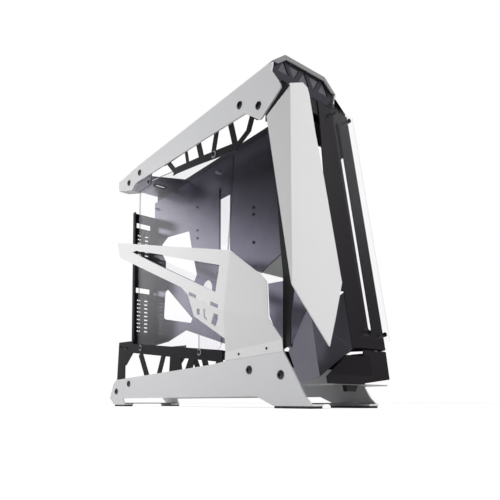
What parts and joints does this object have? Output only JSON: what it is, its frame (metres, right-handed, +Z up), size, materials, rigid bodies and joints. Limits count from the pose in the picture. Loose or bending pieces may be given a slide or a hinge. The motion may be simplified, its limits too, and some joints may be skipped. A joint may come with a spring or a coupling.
{
  "type": "full-tower computer case",
  "caption": "Open-frame tower computer case of folded sheet: lattice rails on two base plates, glass sides, a faceted side cover and wing, and a leaning radiator front.",
  "frame": {"origin": "middle of the bounding box at floor level, under the foot pads", "axes": "+Z up, -Y towards the leaning front with the chin, +Y towards the rear panel, -X towards the pictured side with the faceted cover"},
  "size_m": [0.2111, 0.7795, 0.6215],
  "materials": {
    "white_sheet": "satin",
    "dark_sheet": "semi-gloss",
    "grey_sheet": "satin",
    "glass": "clear, slightly tinted",
    "clear_plastic": "clear",
    "fasteners": "black",
    "spacers": "satin",
    "black_plastic": "matt",
    "rubber": "matt"
  },
  "bodies": {
    "case": {"left_base_plate": "white_sheet", "right_base_plate": "white_sheet", "foot_ties": "dark_sheet", "foot_pads": "rubber", "left_top_rail": "white_sheet", "right_top_rail": "white_sheet", "top_hood": "white_sheet", "port_block": "black_plastic", "hood_grille": "dark_sheet", "left_upper_truss": "dark_sheet", "right_upper_truss": "dark_sheet", "left_lower_truss": "dark_sheet", "right_lower_truss": "dark_sheet", "top_rear_plate": "grey_sheet", "cable_grommets": "rubber", "top_spine": "dark_sheet", "motherboard_tray": "dark_sheet", "board_standoffs": "spacers", "tray_strip": "dark_sheet", "drive_plate": "dark_sheet", "rear_panel": "dark_sheet", "upper_slot_covers": "dark_sheet", "lower_slot_covers": "dark_sheet", "left_front_frame": "dark_sheet", "right_front_frame": "dark_sheet", "front_header": "dark_sheet", "front_footer": "dark_sheet", "radiator_bracket": "dark_sheet", "front_strip": "dark_sheet", "clear_spacers": "spacers", "clear_sheet_front": "clear_plastic", "clear_screws": "fasteners", "left_wing": "white_sheet", "wing_spacers": "spacers", "side_cover": "white_sheet", "chin_skirt": "grey_sheet", "chin_plate": "grey_sheet", "chin_base": "dark_sheet", "chin_nose": "grey_sheet", "chin_latch": "dark_sheet", "pump_plate": "dark_sheet", "wall_link": "dark_sheet", "lower_wall_plate": "dark_sheet", "supply_bracket": "dark_sheet", "left_glass": "glass", "right_glass": "glass", "glass_washers": "black_plastic", "glass_bolt_heads": "fasteners", "rail_bolts": "fasteners", "base_bolts": "fasteners", "cover_screws": "fasteners", "post_bolts": "fasteners", "slot_screws": "fasteners", "bracket_screws": "fasteners", "plate_bolts": "fasteners"},
    "button": {"power_button": "black_plastic"}
  },
  "joints": [
    {"name": "power_press", "type": "slide", "parent": "case", "child": "button", "axis": [0, 0, -1], "range_m": [0, 0.0012], "stiffness_N_per_m": 800}
  ]
}
